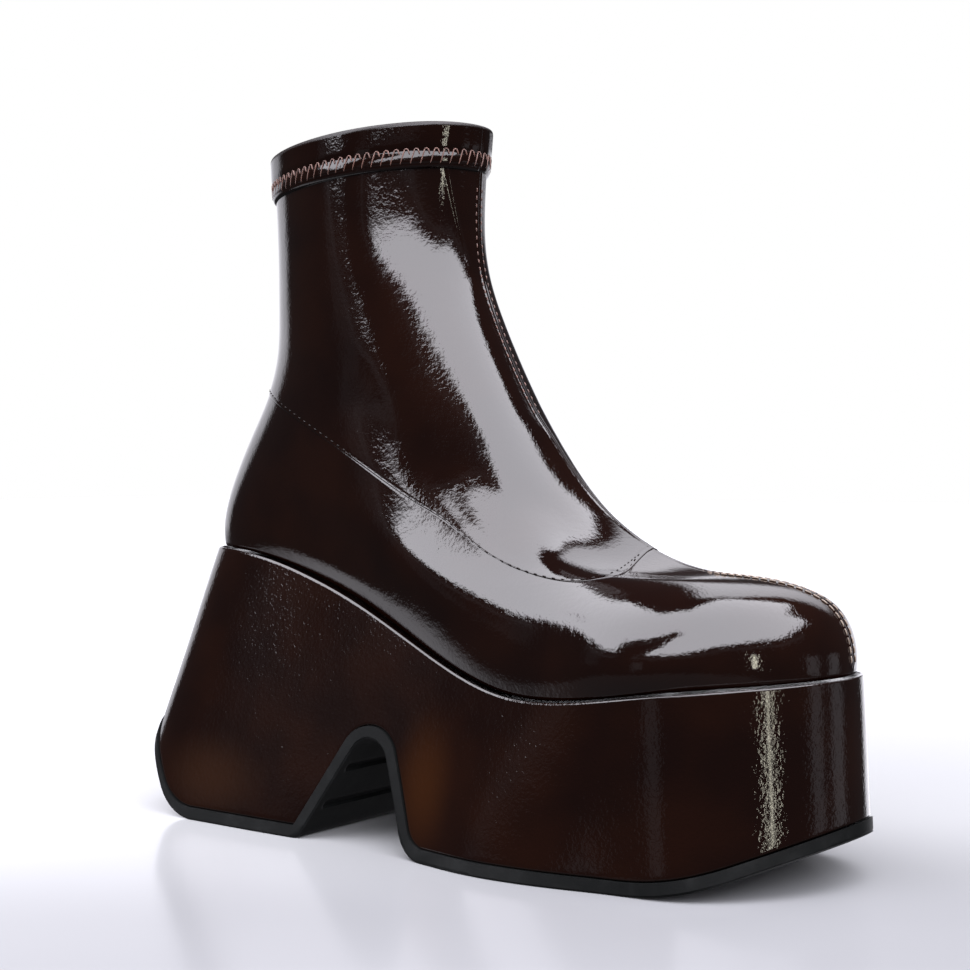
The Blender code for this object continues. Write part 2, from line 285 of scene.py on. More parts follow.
# %% Spline
def spline(knots, values, where):
    """Natural cubic spline through the knots, carried on straight past both ends. Values may be
    rows, and then a row is blended for every place."""
    knots, values = np.asarray(knots, float), np.asarray(values, float)
    order = np.argsort(knots)
    knots, values = knots[order], values[order]
    count = len(knots)
    step = np.diff(knots)
    slope = np.diff(values, axis=0) / step.reshape((-1,) + (1,) * (values.ndim - 1))
    matrix, right = np.eye(count), np.zeros_like(values)
    inner = np.arange(1, count - 1)
    matrix[inner, inner - 1] = step[:-1]
    matrix[inner, inner] = 2 * (step[:-1] + step[1:])
    matrix[inner, inner + 1] = step[1:]
    right[inner] = 6 * (slope[1:] - slope[:-1])
    bend = np.linalg.solve(matrix, right)
    where = np.asarray(where, float)
    spot = np.clip(where, knots[0], knots[-1])
    k = np.clip(np.searchsorted(knots, spot) - 1, 0, count - 2)
    wide = where.shape + (1,) * (values.ndim - 1)
    d, h, past = (v.reshape(wide) for v in (spot - knots[k], step[k], where - spot))
    rise = slope[k] - h * (2 * bend[k] + bend[k + 1]) / 6
    result = values[k] + d * (rise + d * (bend[k] / 2 + d * (bend[k + 1] - bend[k]) / (6 * h)))
    return result + past * (rise + d * (bend[k] + d * (bend[k + 1] - bend[k]) / (2 * h)))


def unit(vectors):
    """Vectors made one long."""
    return vectors / np.linalg.norm(vectors, axis=-1, keepdims=True)


def run_along(points):
    """How far each point of a row lies along it from the first."""
    return np.concatenate([[0], np.cumsum(np.linalg.norm(np.diff(points, axis=0), axis=1))])


def smooth(start, end, value):
    """0 before start, 1 after end, and a smooth rise 3t^2 - 2t^3 between."""
    t = np.clip((np.asarray(value, float) - start) / (end - start), 0, 1)
    return t * t * (3 - 2 * t)


def bell(distance, width):
    """1 at no distance, falling away as exp(-(distance / width)^2)."""
    return np.exp(-(distance / width) ** 2)


print("half way up a batten:", round(float(spline((0, 1, 2), (0, 1, 0), 0.5)), 4))

# %% [markdown]
# ## The sole's own curves
#
# The block under the foot is ruled: straight lines join its top outline, which follows the
# foot, to a wider outline on the ground. A long seat line gives the height of the top, and the
# ground side is a row of straights with rounded corners: heel bevel, heel, the notch's two
# walls, forefoot and toe spring. The outlines' half widths leave out the two tips.

# %% Sole tables
SHAFT_Y = 2.8
SEAT = dict(
    x=(-123.4, -104.8, -81.8, -58.8, -35.8, -12.8, 10.2, 33.2, 60.8, 93.0, 137.6),
    z=(101.8, 101.5, 98.6, 92.6, 84.8, 75.0, 64.9, 58.0, 57.4, 61.8, 65.7),
)
TOP = dict(
    x=(137.6, 121.6, 105.0, 84.0, 47.0, 10.0, -26.6, -63.4, -100.2, -123.4),
    middle=(11.5, 6.2, 1.9, -0.4, -2.0, -2.8, -2.2, -0.8, 0.0, 0.0),
    half=(32.0, 41.6, 44.3, 40.5, 34.4, 30.6, 28.4, 26.4),
    blunt=(8.0, 20.0),
)
BOTTOM = dict(
    x=(140.6, 124.0, 106.0, 84.0, 66.0, 47.0, 28.0, 10.0, -8.0, -26.0, -63.0, -100.0, -150.5),
    middle=(11.5, 6.3, 1.9, 0.3, -1.7, -3.6, -4.1, -3.0, -1.7, -1.0, -0.4, 0.0, 0.0),
    half=(33.8, 43.6, 46.3, 48.0, 49.0, 48.5, 46.5, 45.1, 44.6, 45.6, 46.0),
    blunt=(8.0, 46.0),
)
GROUND = dict(
    x=(-165.0, -115.6, -49.4, -18.6, 0.6, 101.5, 173.5),
    z=(71.6, 0.0, 0.0, 48.6, 0.0, 0.0, 28.8),
    radius=(0.0, 24.0, 5.6, 9.0, 13.0, 100.0, 0.0),
    thick=(2.6, 4.6, 4.6, 4.6, 4.6, 4.6),
)
print("seat falls", round(SEAT["z"][0] - min(SEAT["z"]), 1), "mm from the heel to the ball")

# %% Sole curves
def seat_height(x):
    """Height of the block's top face at a place along the foot."""
    return spline(SEAT["x"], SEAT["z"], x)


def tips(part, toe_blunt, heel_blunt):
    """Shape of a loop's two ends: 0 at both tips, near 1 between, blunter with the powers."""
    toe, heel = 1 - (1 - part) ** toe_blunt, 1 - part ** heel_blunt
    return np.sqrt(np.maximum(toe, 0) * np.maximum(heel, 0))


def outline(rows, angle):
    """Plan outline. The angle is 0 at the toe and pi at the heel, the outer side first:
    x runs from tip to tip as (1 - cos angle) / 2, y = middle -+ half width * tips."""
    part = (1 - np.cos(angle)) / 2
    toe_x, heel_x = rows["x"][0], rows["x"][-1]
    x = toe_x + (heel_x - toe_x) * part
    row_part = (toe_x - np.array(rows["x"][1:-1])) / (toe_x - heel_x)
    row_full = np.array(rows["half"]) / tips(row_part, *rows["blunt"])
    half = spline(row_part, row_full, part) * tips(part, *rows["blunt"])
    middle = SHAFT_Y + spline(rows["x"], rows["middle"], x)
    return np.stack([x, middle - np.sign(np.sin(angle)) * half], axis=-1)


def quarter_turn(vectors):
    """Plan or profile vectors turned to their left."""
    return np.stack([-vectors[..., 1], vectors[..., 0]], axis=-1)


def inset(points, distance):
    """Closed plan outline moved inwards along its normals."""
    along = unit(np.roll(points, -1, axis=0) - np.roll(points, 1, axis=0))
    x, y = points.T
    area = np.sum(x * np.roll(y, -1) - np.roll(x, -1) * y)
    return points + np.sign(area) * distance * quarter_turn(along)


def ground_path(thick, facets=40):
    """Side profile with its corners as arcs. Each straight moves up by its thickness, and a
    corner goes where the moved straights meet."""
    corners = np.stack([GROUND["x"], GROUND["z"]], axis=1)
    along = unit(np.diff(corners, axis=0))
    inward = quarter_turn(along)
    path = [corners[0] + thick[0] * inward[0]]
    for k in range(1, len(corners) - 1):
        moved = corners[k] + np.linalg.solve(inward[k - 1:k + 1], thick[k - 1:k + 1])
        before, after = along[k - 1], along[k]
        side = np.sign(before[0] * after[1] - before[1] * after[0])
        radius = max(GROUND["radius"][k] - side * (thick[k - 1] + thick[k]) / 2, 0.5)
        bend = np.arccos(np.clip(before @ after, -1, 1))
        start = moved - before * radius * np.tan(bend / 2)
        centre = start + side * radius * quarter_turn(before)
        spoke, sweep = start - centre, side * np.linspace(0, bend, facets + 1)[:, None]
        path.append(centre + (np.cos(sweep) * spoke + np.sin(sweep) * quarter_turn(spoke)))
    return np.vstack(path + [corners[-1] + thick[-1] * inward[-1]])


RUBBER = np.array(GROUND["thick"])
under_rubber, over_rubber = ground_path(RUBBER * 0), ground_path(RUBBER)
print("the ground side is", round(run_along(under_rubber)[-1]), "mm long")

# %% [markdown]
# ## The skin of the upper
#
# The upper is pulled over a last, so it is one fair surface from the feather line, where it
# meets the block, to the collar. It is given by ten loops. Each loop has a front point, a back
# point and six half widths in millimetres, and splines blend the loops upwards. Two numbers find
# any point on it: the angle round the loop and the height from 0 to 1, so seams and stitches can
# be drawn on it as plain curves. The lean row swings the front over to the inner side.

# %% Upper tables
LOOP_PARTS = (0.05, 0.15, 0.30, 0.50, 0.75, 0.94)
LOOPS = dict(
    height=(0.00, 0.10, 0.20, 0.32, 0.45, 0.58, 0.70, 0.82, 0.91, 1.00),
    front_x=(135.4, 134.8, 128.4, 107.4, 73.4, 43.4, 22.6, 2.6, -5.6, -4.2),
    front_z=(66.2, 76.0, 88.4, 96.4, 100.0, 119.8, 149.4, 187.0, 216.0, 257.4),
    back_x=(-121.0, -121.6, -120.0, -115.6, -108.4, -99.8, -95.2, -93.8, -93.9, -96.4),
    back_z=(102.2, 110.4, 120.2, 133.0, 147.0, 162.0, 177.0, 196.6, 219.0, 250.6),
    half_05=(26.2, 27.8, 26.2, 20.1, 16.9, 17.0, 15.3, 13.9, 12.8, 13.2),
    half_15=(41.0, 43.5, 40.0, 29.8, 27.0, 25.4, 23.4, 22.6, 21.2, 21.4),
    half_30=(39.8, 41.0, 39.2, 34.7, 32.2, 30.2, 29.6, 28.8, 28.0, 27.7),
    half_50=(31.8, 33.6, 34.8, 34.3, 32.9, 31.6, 30.9, 30.4, 30.3, 30.2),
    half_75=(26.0, 28.2, 28.8, 29.3, 28.8, 28.1, 27.2, 26.4, 25.8, 26.0),
    half_94=(22.6, 23.0, 22.2, 20.2, 18.4, 16.9, 15.3, 14.6, 14.4, 14.3),
    toe_blunt=(8.0, 7.4, 5.4, 3.2, 2.2, 1.6, 1.2, 1.0, 1.0, 1.0),
    heel_blunt=(20.0, 19.0, 15.0, 10.0, 6.0, 3.4, 2.0, 1.3, 1.0, 1.0),
    drop=(1.0, 1.0, 0.95, 0.80, 0.50, 0.24, 0.08, 0.0, 0.0, 0.0),
    swing=(1.0, 1.0, 1.0, 0.9, 0.7, 0.4, 0.15, 0.0, 0.0, 0.0),
    lean=(2.4, 2.6, 3.0, 2.0, 8.6, 6.0, 1.0, 1.2, 2.2, 3.0),
)
FEATHER_GAP = 0.6
LEAN_REACH = 0.5
collar_length = LOOPS["front_x"][-1] - LOOPS["back_x"][-1]
print(len(LOOPS["height"]), "loops, the last one", round(collar_length, 1), "mm long")

# %% Skin
def wrapped(angle):
    """The same angle between -pi and pi."""
    return (np.asarray(angle, float) + np.pi) % (2 * np.pi) - np.pi


def skin(angle, height):
    """Point of the upper's outer face. x and z run from the front point to the back point as
    (1 - cos angle) / 2, z also follows the seat's dip, and y = middle -+ half width. The middle
    leans over in a bell round the front."""
    angle, height = np.broadcast_arrays(np.asarray(angle, float), np.asarray(height, float))
    row = {name: spline(LOOPS["height"], values, height) for name, values in LOOPS.items()
           if name != "height"}
    part = (1 - np.cos(angle)) / 2
    dip_x = LOOPS["front_x"][0] + (LOOPS["back_x"][0] - LOOPS["front_x"][0]) * part
    chord = LOOPS["front_z"][0] + (LOOPS["back_z"][0] - LOOPS["front_z"][0]) * part
    x = row["front_x"] + (row["back_x"] - row["front_x"]) * part
    z = (row["front_z"] + (row["back_z"] - row["front_z"]) * part
         + row["drop"] * (seat_height(dip_x) + FEATHER_GAP - chord))
    share = spline(LOOP_PARTS, np.eye(len(LOOP_PARTS)), part)
    full = np.stack([row[f"half_{100 * p:02.0f}"] / tips(p, row["toe_blunt"], row["heel_blunt"])
                     for p in LOOP_PARTS], axis=-1)
    half = (share * full).sum(-1) * tips(part, row["toe_blunt"], row["heel_blunt"])
    middle = (SHAFT_Y + spline(TOP["x"], TOP["middle"], x) * row["swing"]
              + row["lean"] * bell(wrapped(angle), LEAN_REACH))
    return np.stack([x, middle - np.sign(np.sin(angle)) * half, z], axis=-1)


def skin_normal(angle, height, reach=0.004):
    """Unit normal out of the boot: across product of a small step round and a small step up."""
    around = skin(angle + reach, height) - skin(angle - reach, height)
    up = skin(angle, height + reach) - skin(angle, height - reach)
    return unit(np.cross(up, around))


print("the toe's feather point is at", np.round(skin(0.0, 0.0), 1), "mm")

# %% [markdown]
# ## From a grid of points to a piece
#
# Every piece below is a grid of rows and columns. A grid whose columns close on themselves is a
# tube, and one whose rows close too is a ring-shaped solid. One function turns a grid into a
# mesh, gives it its finish, and lets it ride on the boot's body.

# %% Piece from a grid
WELD, SPECK = 0.000004, 0.0000001


def grid_faces(rows, columns, around=False, along=False):
    """Quads between neighbours of a grid. Around joins the last column to the first, and along
    the last row to the first. Up x around points out of the face."""
    index = np.arange(rows * columns).reshape(rows, columns)
    if around:
        index = np.column_stack([index, index[:, :1]])
    if along:
        index = np.vstack([index, index[:1]])
    corners = [index[:-1, :-1], index[1:, :-1], index[1:, 1:], index[:-1, 1:]]
    return np.stack(corners, -1).reshape(-1, 4)


def piece(name, points, faces, look, sharp=40.0, merge=False):
    """Object in metres from points in millimetres, smooth but for edges sharper than an angle.
    Merge welds points that coincide where a grid closes to a line."""
    points = np.asarray(points, float).reshape(-1, 3) * MM
    loops = np.concatenate([np.asarray(part).reshape(-1) for part in faces])
    sizes = np.concatenate([np.full(len(part), np.shape(part)[1]) for part in faces])
    mesh = bpy.data.meshes.new(name)
    mesh.vertices.add(len(points))
    mesh.vertices.foreach_set("co", points.ravel())
    mesh.loops.add(len(loops))
    mesh.loops.foreach_set("vertex_index", loops.astype(np.int32))
    mesh.polygons.add(len(sizes))
    starts = np.cumsum(sizes) - sizes
    mesh.polygons.foreach_set("loop_start", starts.astype(np.int32))
    mesh.update(calc_edges=True)
    if merge:
        form = bmesh.new()
        form.from_mesh(mesh)
        bmesh.ops.remove_doubles(form, verts=form.verts[:], dist=WELD)
        bmesh.ops.dissolve_degenerate(form, edges=form.edges[:], dist=SPECK)
        form.to_mesh(mesh)
        form.free()
    mesh.validate()
    mesh.materials.append(look)
    mesh.shade_smooth()
    mesh.set_sharp_from_angle(angle=np.radians(sharp))
    made = bpy.data.objects.new(name, mesh)
    bpy.context.scene.collection.objects.link(made)
    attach(made, "root")
    triangles = sum(len(p.vertices) - 2 for p in mesh.polygons)
    print(f"{name}: {triangles} triangles")
    return made


# %% [markdown]
# ## Crinkled patent
#
# Patent is cloth or leather under a thick clear film. Seen close, the film is not flat: it has a
# fine crinkle about a millimetre across, which frays the edge of every reflection into small
# spikes, and a slower waviness that bends the reflection as a whole. So the base is a nearly
# black brown, the film is a clear coat, and the crinkle is a bump over a wave. The same graph
# makes the hem, whose cut edge shows no film, and the block's wrap, on whose brown two warm
# reflections of light are painted.

# %% Patent
DARK_BROWN, BROWN = (0.0040, 0.0012, 0.0008), (0.0072, 0.0021, 0.0011)
UPPER_LEATHER = dict(fine=0.00006, slow=0.00010, warm=BROWN)
BLOCK_LEATHER = dict(fine=0.00010, slow=0.00009, warm=(0.0074, 0.0021, 0.0010))
# painted reflections: warm ovals of colour on the wrap that stand in for reflected light
PAINTED_REFLECTIONS = [
    # middle and half widths of an oval in metres, colour of the warm reflection painted there
    ((-0.097, -0.050, 0.017), (0.034, 0.060, 0.020), (0.015, 0.0055, 0.0024)),
    ((0.006, -0.050, 0.026), (0.017, 0.060, 0.030), (0.020, 0.0062, 0.0017)),
]
COLLAR_DOWN, COLLAR_TOP = (74.0, 0.0, -1000.0), 257.7


def patent_graph(fine, slow, warm, cut_edge=False, painted_reflections=()):
    """Brown that warms and cools a little, with a fine crinkle and a slow wave, whose heights
    are in metres. The cut edge lies just below the collar's plane, 1000 z = 257.7 + 74 x."""
    def build(place):
        colour = noise(place, 0.034).step(0.32, 0.72).tint(DARK_BROWN, warm)
        # painted reflection: inside each oval the brown turns warm, standing in for reflected light
        for middle, reach, reflection_tint in painted_reflections:
            away = place.vector("SUBTRACT", middle).vector("DIVIDE", reach).vector("LENGTH")
            colour = away.step(1.0, 0.1).tint(colour, reflection_tint)
        wave = noise(place, 0.0065, 1.0).bump(1.0, slow)
        rough = 0.045 + noise(place, 0.012, 3.0, 0.6).step(0.45, 0.8) * 0.05
        if cut_edge:
            below = place.vector("DOT_PRODUCT", COLLAR_DOWN) + COLLAR_TOP
            rough = rough + below.step(2.2, 0.9) * 0.45
        return {"Base Color": colour, "Roughness": rough,
                "Normal": noise(place, 0.0013, 2.0, 0.55).bump(1.0, fine, normal=wave)}
    return build


patent = finish("crinkled_patent", patent_graph(**UPPER_LEATHER),
                coat_weight=0.35, coat_roughness=0.03)
wrap = finish("platform_patent", patent_graph(**BLOCK_LEATHER, painted_reflections=PAINTED_REFLECTIONS),
              coat_weight=0.25, coat_roughness=0.05)
hem_patent = finish("hem_patent", patent_graph(**UPPER_LEATHER, cut_edge=True))
print("patent graph has", len(patent.node_tree.nodes), "nodes")

# %% [markdown]
# ## Rubber, thread, lining and footbed
#
# The quiet finishes frame the loud one: black rubber with a fine moulded tooth, waxed thread, a
# brushed brown lining and a padded footbed in a paler cloth.

# %% Quiet finishes
def rubber_graph(place):
    """Black with a slight green cast, greyer where it is scuffed, and a fine tooth."""
    scuff = noise(place, 0.008, 4.0, 0.65)
    black, grey = (0.0022, 0.0026, 0.0026), (0.0065, 0.0070, 0.0070)
    return {"Base Color": scuff.step(0.45, 0.8).tint(black, grey),
            "Roughness": 0.42 + scuff * 0.25,
            "Normal": noise(place, 0.0006).bump(0.6, 0.00005)}


def thread_graph(dark, light):
    """Thread colour that varies from stitch to stitch, with the twist of its plies."""
    return lambda place: {"Base Color": noise(place, 0.004).step(0.3, 0.7).tint(dark, light),
                          "Normal": noise(place, 0.00025, 1.0).bump(0.5, 0.00004)}


def cloth_graph(dark, light):
    """Short brushed pile: fine fibres and slow shaded patches."""
    def build(place):
        fibre = noise(place, 0.0007, 3.0, 0.7, (1, 1, 0.35))
        shade = fibre * 0.7 + noise(place, 0.02) * 0.3
        return {"Base Color": shade.step(0.3, 0.7).tint(dark, light),
                "Roughness": 0.82 + fibre * 0.12, "Normal": fibre.bump(0.8, 0.0002)}
    return build


rubber = finish("black_rubber", rubber_graph, specular_ior_level=0.2)
brown_thread = finish("brown_thread", thread_graph((0.085, 0.038, 0.027), (0.160, 0.075, 0.055)),
                      roughness=0.42, sheen_weight=0.2)
dark_thread = finish("dark_thread", thread_graph((0.004, 0.0022, 0.0018), (0.010, 0.005, 0.004)),
                     roughness=0.5, specular_ior_level=0.3)
pale_thread = finish("pale_thread", thread_graph((0.13, 0.095, 0.070), (0.26, 0.20, 0.155)),
                     roughness=0.4, sheen_weight=0.2)
lining_cloth = finish("brown_lining", cloth_graph((0.020, 0.011, 0.008), (0.042, 0.024, 0.018)),
                      specular_ior_level=0.25, sheen_weight=0.25)
footbed_cloth = finish("footbed_cloth", cloth_graph((0.030, 0.018, 0.013), (0.060, 0.038, 0.028)),
                       specular_ior_level=0.25, sheen_weight=0.3)
print("finishes:", [m.name for m in bpy.data.materials if m.users])

# %% [markdown]
# ## Seams as curves on the skin
#
# The upper has two panels. The lower one, the vamp, wraps the foot. The upper one, the shaft, is
# a tube that laps over it and ends in a long tongue on the instep. The lap is one curve: a
# height for each angle, the same on both sides.

# %% Seam curve
SEAM = dict(
    degrees=(0.0, 8.0, 17.0, 31.0, 40.0, 46.5, 52.0, 56.0, 59.0,
             62.0, 66.0, 73.0, 87.0, 107.0, 130.0, 150.0, 180.0),
    height=(0.486, 0.479, 0.460, 0.412, 0.374, 0.353, 0.345, 0.364, 0.402,
            0.452, 0.498, 0.526, 0.549, 0.562, 0.577, 0.588, 0.592),
)
STEP = 0.01


def seam_height(angle):
    """Height of the lap at an angle. The inner side mirrors the outer one, and three mirrored
    knots past either end keep the curve level there."""
    degrees, level = np.array(SEAM["degrees"]), np.array(SEAM["height"])
    knots = np.concatenate([-degrees[3:0:-1], degrees, 360 - degrees[-2:-5:-1]])
    values = np.concatenate([level[3:0:-1], level, level[-2:-5:-1]])
    return spline(knots, values, np.degrees(np.abs(wrapped(angle))))


def level_at_drop(angle, drop):
    """Height on the skin that lies some millimetres below the collar, by a few corrections."""
    height = np.full(np.shape(angle), 1.0)
    top = skin(angle, height)[..., 2]
    for _ in range(4):
        here = skin(angle, height)[..., 2]
        rise = (here - skin(angle, height - STEP)[..., 2]) / STEP
        height = height + (top - drop - here) / rise
    return height


def per_height(angle, height):
    """Millimetres along the skin for one unit of height."""
    run = skin(angle, height + STEP) - skin(angle, height - STEP)
    return np.linalg.norm(run, axis=-1) / (2 * STEP)


print("lap runs from", round(float(skin(0.0, seam_height(0.0))[2])), "mm high on the instep to",
      round(float(skin(np.pi, seam_height(np.pi))[2])), "mm at the back")

# %% [markdown]
# ## Soft dents
#
# A stuffed boot is never as smooth as its last. The broad dent on either side of the ankle is
# drawn as a stroke on the skin, from one place to another, and sinks the surface by its depth
# times a bell of the distance from the stroke.

# %% Dents
DENT = dict(degrees=(60.0, 84.0), height=(0.60, 0.70), width=9.0, depth=0.5)


def dents(points):
    """Depth of the stroke and of its mirror image at points of the skin."""
    total = 0
    for side in (1, -1):
        stroke = skin(np.radians(side * np.linspace(*DENT["degrees"], 9)),
                      np.linspace(*DENT["height"], 9))
        nearest = np.inf
        for a, b in zip(stroke[:-1], np.diff(stroke, axis=0)):
            along = np.clip(((points - a) @ b) / (b @ b), 0, 1)
            nearest = np.minimum(nearest, ((points - a - along[..., None] * b) ** 2).sum(-1))
        total = total + DENT["depth"] * np.exp(-nearest / DENT["width"] ** 2)
    return total


print("a dent is", round(float(dents(skin(np.radians(72.0), 0.65))), 2), "mm deep")

# %% [markdown]
# ## A sheet on the skin
#
# A panel is a thin closed sheet. Its outer face follows the skin between two curves, its edges
# are half rounds, and its inner face comes back one thickness lower. Since all of these are rows
# of one grid, the sheet closes itself.

# %% Sheet
def round_edge(point, beyond, out, width, rise=1.0):
    """Rows of a half round from a face's last points, where the face runs on towards beyond."""
    turn = np.linspace(0, np.pi, 9)[1:-1, None, None]
    beyond = unit(beyond - (beyond * out).sum(-1, keepdims=True) * out)
    return point + width / 2 * (rise * np.sin(turn) * beyond + (np.cos(turn) - 1) * out)


def sheet(angles, low, high, rows, lift, thick, low_thick=None, inner_rows=24, crowd=0.0,
          crown=1.0):
    """Grid of a sheet between two height curves. Lift gives the outer face's distance from the
    skin, from the angle, the height, the millimetres above the lower edge and below the upper
    one, and the point. Crowd draws rows towards both edges, low_thick swells the lower edge, and
    a crown under 1 flattens the upper one's round."""
    def face(count):
        t = np.linspace(0, 1, count)
        t = t - crowd * np.sin(2 * np.pi * t) / (2 * np.pi)
        height = low + (high - low) * t[:, None]
        angle = np.broadcast_to(angles, height.shape)
        base = skin(angles, height)
        step = np.linalg.norm(np.diff(base, axis=0), axis=-1)
        above = np.vstack([np.zeros(len(angles)), np.cumsum(step, axis=0)])
        return base, skin_normal(angle, height), lift(angle, height, above, above[-1] - above, base)

    low_thick = thick if low_thick is None else low_thick
    base, normal, raised = face(rows)
    outer = base + normal * raised[..., None]
    back, back_normal, back_raised = face(inner_rows)
    above = np.linspace(0, 1, inner_rows)[:, None]
    deep = thick + (low_thick - thick) * bell(above, 1 / 12)
    inner = (back + back_normal * (back_raised - deep)[..., None])[::-1]
    top_round = round_edge(outer[-1], outer[-1] - outer[-2], normal[-1], thick, crown)
    low_round = round_edge(outer[0], outer[0] - outer[1], normal[0], low_thick)[::-1]
    return np.concatenate([outer, top_round, inner, low_round])


def sheet_piece(name, look, slot, *shape, **options):
    """A sheet as a piece: its name and finish, a slot that is not used, then what the sheet itself
    needs.
    """
    grid = sheet(*shape, **options)
    return piece(name, grid, [grid_faces(*grid.shape[:2], around=True, along=True)], look)


def loop_angles(count):
    """Even angles right round."""
    return np.arange(count) * 2 * np.pi / count


trial = sheet(loop_angles(8), 0.2, np.full(8, 0.3), 4, lambda angle, height, *rest: 0 * height, 1)
print("a sheet of 4 rows has", len(trial), "grid rows")

# %% [markdown]
# ## The vamp
#
# The vamp is rolled under at the feather line, which leaves a dark line between it and the
# block, and it goes on a little way up under the shaft. Down the toe its two halves meet in a
# raised seam: a low ridge with a fine line down its middle. Over the instep the foot's own ridge
# shows through, with a shallow hollow on both sides.

# %% Vamp
def beside(angle, height, base):
    """Millimetres sideways from the front point at this height, or from the back point behind."""
    return base[..., 1] - skin(np.where(np.cos(angle) > 0, 0.0, np.pi), height)[..., 1]


def front_ridge(angle, distance, width, line):
    """Flat-topped ridge, exp(-(distance / width)^4), with a narrow trough down its middle."""
    shape = 0.45 * np.exp(-(distance / width) ** 4) - line * bell(distance, 0.35)
    return np.where(np.cos(angle) > 0.6, shape, 0)


def back_seam(angle, distance):
    """Fine closed seam down the back."""
    return np.where(np.cos(angle) < -0.9, -0.3 * bell(distance, 0.45), 0)


def keel(angle, height, side):
    """Ridge under the front seam over the instep, with a shallow hollow to either side of it."""
    front = smooth(0.05, 0.50, np.cos(angle))
    upper = front * smooth(0.36, 0.46, height) * smooth(0.72, 0.67, height)
    lower = front * smooth(0.33, 0.43, height) * smooth(0.66, 0.56, height)
    return (1.4 * upper * np.exp(-np.sqrt(side ** 2 + 1) / 6.5)
            - 1.3 * lower * bell(np.abs(side) - 22, 12))


def vamp_lift(angle, height, above, below, base):
    """The skin itself, with its dents, the toe seam, the back seam and the dip under the lap."""
    side = beside(angle, height, base)
    front = front_ridge(angle, side - 1.6, 1.7, 0.30) + keel(angle, height, side)
    under = -0.75 * smooth(6.5, 4.0, below)
    return front * smooth(0, 3, above) + back_seam(angle, side) + under - dents(base)


columns = loop_angles(720)
under_shaft = 6.0 / per_height(columns, seam_height(columns))
vamp = sheet_piece("vamp", patent, "patent", columns, 0.012, seam_height(columns) + under_shaft,
                   108, vamp_lift, 1.0, low_thick=3.2, inner_rows=20)

# %% [markdown]
# ## The shaft
#
# The shaft laps over the vamp, so its lower edge stands a little proud and sinks back to the skin
# over the next two centimetres. Its own centre-front seam has the same ridge as the toe's, and
# beside it, just below the hem, one sharp crease runs down where the patent is pulled.

# %% Shaft
def shaft_lift(angle, height, above, below, base):
    """Proud at the lap, a ridge down the front, a seam down the back, and the crease, which is
    13.5 mm to the outer side of the front point at the top and closer further down."""
    side, z = beside(angle, height, base), base[..., 2]
    front = front_ridge(angle, side - 1.7, 1.8, 0.25) + keel(angle, height, side)
    lap = 0.26 * smooth(26.0, 2.0, above) - 0.07 * bell(above - 1.1, 0.5)
    crease = 0.45 * bell(side + 13.5 - (242 - z) * 0.237, 0.6)
    crease = crease * smooth(204, 209, z) * smooth(243, 237, z)
    crease = np.where((np.sin(angle) > 0) & (np.cos(angle) > 0.3), crease, 0)
    return lap + front + back_seam(angle, side) * smooth(0, 2, above) + crease - dents(base)


columns = loop_angles(560)
sheet_piece("shaft", patent, "patent", columns, seam_height(columns), level_at_drop(columns, 6.0),
            150, shaft_lift, 0.9, inner_rows=20, crowd=0.45)

# %% [markdown]
# ## The collar hem
#
# The top edge is turned over a soft tape and caught down with a zigzag, so it is a padded band,
# pinched along the top of the stitches. Its rim is cut nearly square.

# %% Hem
def hem_lift(angle, height, above, below, base):
    """A band 1.45 mm proud, drawn in under the zigzag's top and at its lower edge, with the end
    of the front seam."""
    seam = np.where(np.cos(angle) > 0.6, 0.25 * bell(beside(angle, height, base), 0.4), 0)
    pinch = 0.40 * bell(above - 4.9, 1.5) + 0.35 * smooth(1.2, 0.0, above)
    return 1.45 - pinch - seam - 0.15 * smooth(0.6, 0.0, below)


sheet_piece("collar_hem", hem_patent, "patent", columns, level_at_drop(columns, 15.4),
            level_at_drop(columns, 0.8), 44, hem_lift, 3.1, inner_rows=16, crown=0.45)

# %% [markdown]
# ## The lining
#
# Inside, a brushed cloth runs from the footbed to the hem, just behind the panels.

# %% Lining
def lining_lift(angle, height, above, below, base):
    """1.15 mm inside the skin, following its ridge and dents, and deeper at the footbed."""
    ridge = keel(angle, height, beside(angle, height, base))
    return -1.15 - 0.9 * smooth(6, 0, above) + ridge - dents(base)


columns = loop_angles(240)
sheet_piece("lining", lining_cloth, "footbed", columns, 0.02, level_at_drop(columns, 9.0), 90,
            lining_lift, 0.75)

# %% [markdown]
# ## The block
#
# One light moulding makes the platform and the heel. Its wall is ruled between the two outlines
# down to the top of the rubber, and patent is wrapped over it and turned in at the rim. Both
# sides of an outline share x and z at equal angles, so straight strips close the underside.

# %% Block helpers
def ruled(top, bottom, share):
    """Points on the lines from the bottom outline (share 0) to the top one (share 1)."""
    return bottom + (top - bottom) * np.asarray(share)[..., None]


def sole_ends(angles, grow):
    """Top and bottom outlines of the ruled wall as points in space."""
    top, bottom = inset(outline(TOP, angles), -grow), inset(outline(BOTTOM, angles), -grow)
    return (np.column_stack([top, seat_height(top[:, 0])]),
            np.column_stack([bottom, np.zeros(len(bottom))]))


def meet(top, bottom, path):
    """Share at which each ruled line, followed down from the top, meets the side profile."""
    share = np.linspace(1.0, -0.06, 1400)[:, None]
    line = ruled(top, bottom, share + 0 * top[:, 0])
    gap = line[..., 2] - np.interp(line[..., 0], path[:, 0], path[:, 1])
    k = np.argmax(gap < 0, axis=0)
    column = np.arange(len(top))
    over, under = gap[k - 1, column], gap[k, column]
    return share[k - 1, 0] + (share[k, 0] - share[k - 1, 0]) * over / (over - under)


def both_sides(side):
    """Angles right round, from those between 0 and pi on the outer side."""
    return np.concatenate([side, 2 * np.pi - side[-2:0:-1]])


